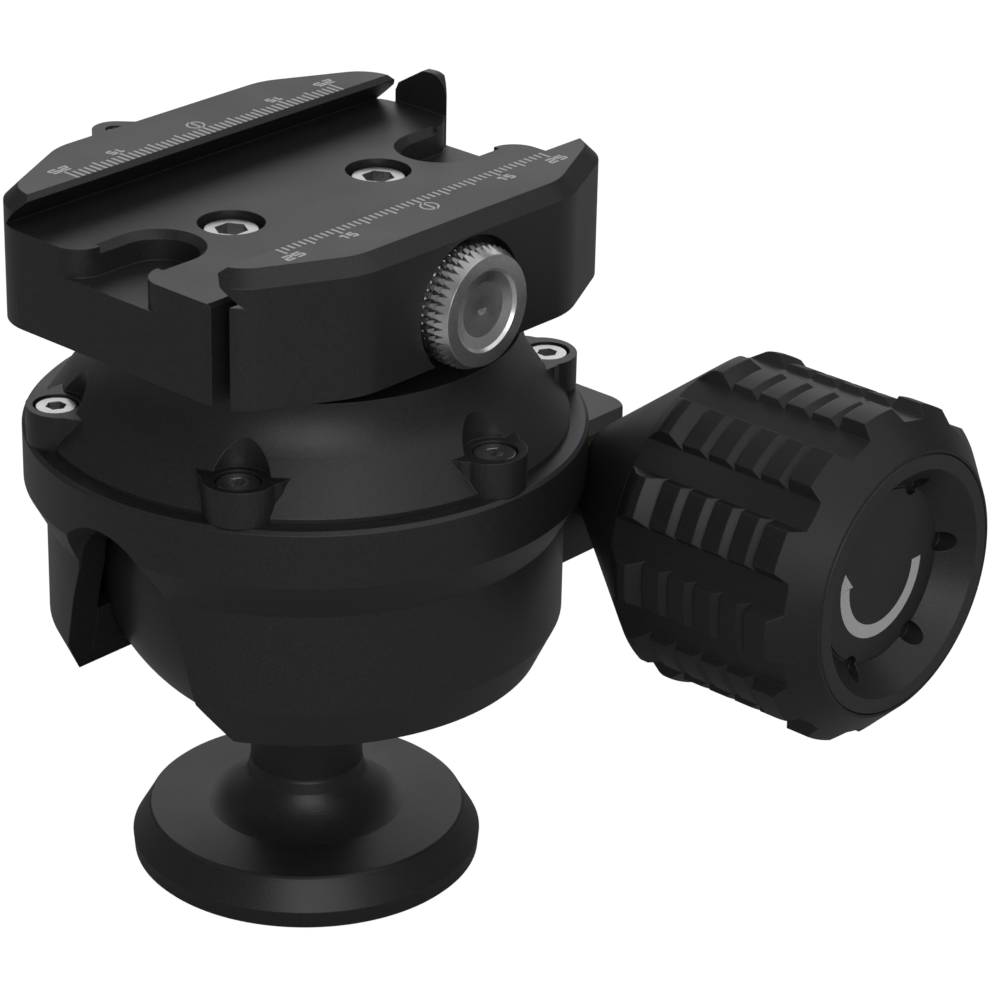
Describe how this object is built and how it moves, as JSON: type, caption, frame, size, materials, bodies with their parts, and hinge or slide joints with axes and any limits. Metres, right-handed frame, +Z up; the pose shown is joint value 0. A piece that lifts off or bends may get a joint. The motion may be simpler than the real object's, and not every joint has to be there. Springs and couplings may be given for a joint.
{
  "type": "ball head",
  "caption": "Inverted ball head with a drop notch, a side clamping knob and a screw clamp on top.",
  "frame": {"origin": "centre of the foot's underside, at the mouth of its threaded hole", "axes": "+Z up through the neck, the ball and the clamp; +X along the clamp's channel, the drop notch opens to -X; both knobs point to -Y"},
  "size_m": [0.0963, 0.1187, 0.1051],
  "materials": {
    "foot_base": "black anodised, fine satin",
    "foot_bush": "bright steel",
    "stem_bolt": "bright steel",
    "ball": "hard anodised, smooth",
    "ball_crown": "slide plastic, dark",
    "upper_liner": "slide plastic, dark",
    "housing": "black anodised, fine satin",
    "seat_ring": "slide plastic, dark",
    "pressure_ring": "slide plastic, dark",
    "wave_spring": "bright steel",
    "cap": "black anodised, fine satin",
    "cap_screws": "bright steel, turned head",
    "boss_bush": "machined",
    "spindle": "bright steel",
    "shoe_front": "machined",
    "shoe_back": "machined",
    "thrust_washer": "machined",
    "knob_hub": "black anodised, fine satin",
    "knob_grip": "moulded, matt",
    "knob_face": "black anodised, fine satin",
    "knob_disc": "black anodised with a light turning arrow",
    "knob_bolt": "bright steel",
    "clamp_body": "black anodised, fine satin",
    "front_jaw": "black anodised, fine satin",
    "clamp_rod": "bright steel",
    "clamp_knob": "natural silver, knurled",
    "knob_shim": "machined",
    "hub_clip": "bright steel",
    "jaw_pins": "bright steel",
    "clamp_screws": "bright steel, turned head",
    "ear_screw": "bright steel"
  },
  "bodies": {
    "foot": {"foot_base": "foot_base", "foot_bush": "foot_bush", "stem_bolt": "stem_bolt", "ball": "ball"},
    "crown": {"ball_crown": "ball_crown"},
    "liner": {"upper_liner": "upper_liner"},
    "head": {"housing": "housing", "seat_ring": "seat_ring", "pressure_ring": "pressure_ring", "wave_spring": "wave_spring", "cap": "cap", "cap_screws": "cap_screws", "boss_bush": "boss_bush", "thrust_washer": "thrust_washer", "clamp_body": "clamp_body", "clamp_rod": "clamp_rod", "jaw_pins": "jaw_pins", "clamp_screws": "clamp_screws", "ear_screw": "ear_screw"},
    "main_knob": {"spindle": "spindle", "knob_hub": "knob_hub", "knob_grip": "knob_grip", "knob_face": "knob_face", "knob_disc": "knob_disc", "knob_bolt": "knob_bolt"},
    "front_shoe": {"shoe_front": "shoe_front"},
    "back_shoe": {"shoe_back": "shoe_back"},
    "jaw": {"front_jaw": "front_jaw", "knob_shim": "knob_shim"},
    "clamp_screw_knob": {"clamp_knob": "clamp_knob", "hub_clip": "hub_clip"}
  },
  "joints": [
    {"name": "pan", "type": "hinge", "parent": "foot", "child": "crown", "pos_m": [0, 0, 0.0517], "axis": [0, 0, 1], "continuous": true},
    {"name": "tilt", "type": "hinge", "parent": "crown", "child": "liner", "pos_m": [0, 0, 0.0517], "axis": [0, -1, 0], "range_deg": [-24, 90]},
    {"name": "cross_tilt", "type": "hinge", "parent": "liner", "child": "head", "pos_m": [0, 0, 0.0517], "axis": [1, 0, 0], "range_deg": [-24, 24]},
    {"name": "main_knob_turn", "type": "hinge", "parent": "head", "child": "main_knob", "pos_m": [0.0338, 0, 0.0563], "axis": [0, -1, 0], "range_deg": [0, 270]},
    {"name": "front_shoe_slide", "type": "slide", "parent": "head", "child": "front_shoe", "axis": [0, -1, 0], "range_m": [0, 0.00075]},
    {"name": "back_shoe_slide", "type": "slide", "parent": "head", "child": "back_shoe", "axis": [0, 1, 0], "range_m": [0, 0.00075]},
    {"name": "jaw_slide", "type": "slide", "parent": "head", "child": "jaw", "axis": [0, 1, 0], "range_m": [-0.0024, 0.0024]},
    {"name": "clamp_knob_turn", "type": "hinge", "parent": "jaw", "child": "clamp_screw_knob", "pos_m": [0, 0, 0.0923], "axis": [0, 1, 0], "range_deg": [-361, 361]}
  ],
  "couplings": [
    {"joint": "front_shoe_slide", "follows": "main_knob_turn", "m_per_rad": 0.000159},
    {"joint": "back_shoe_slide", "follows": "main_knob_turn", "m_per_rad": 0.000159},
    {"joint": "clamp_knob_turn", "follows": "jaw_slide", "rad_per_m": 2618}
  ]
}
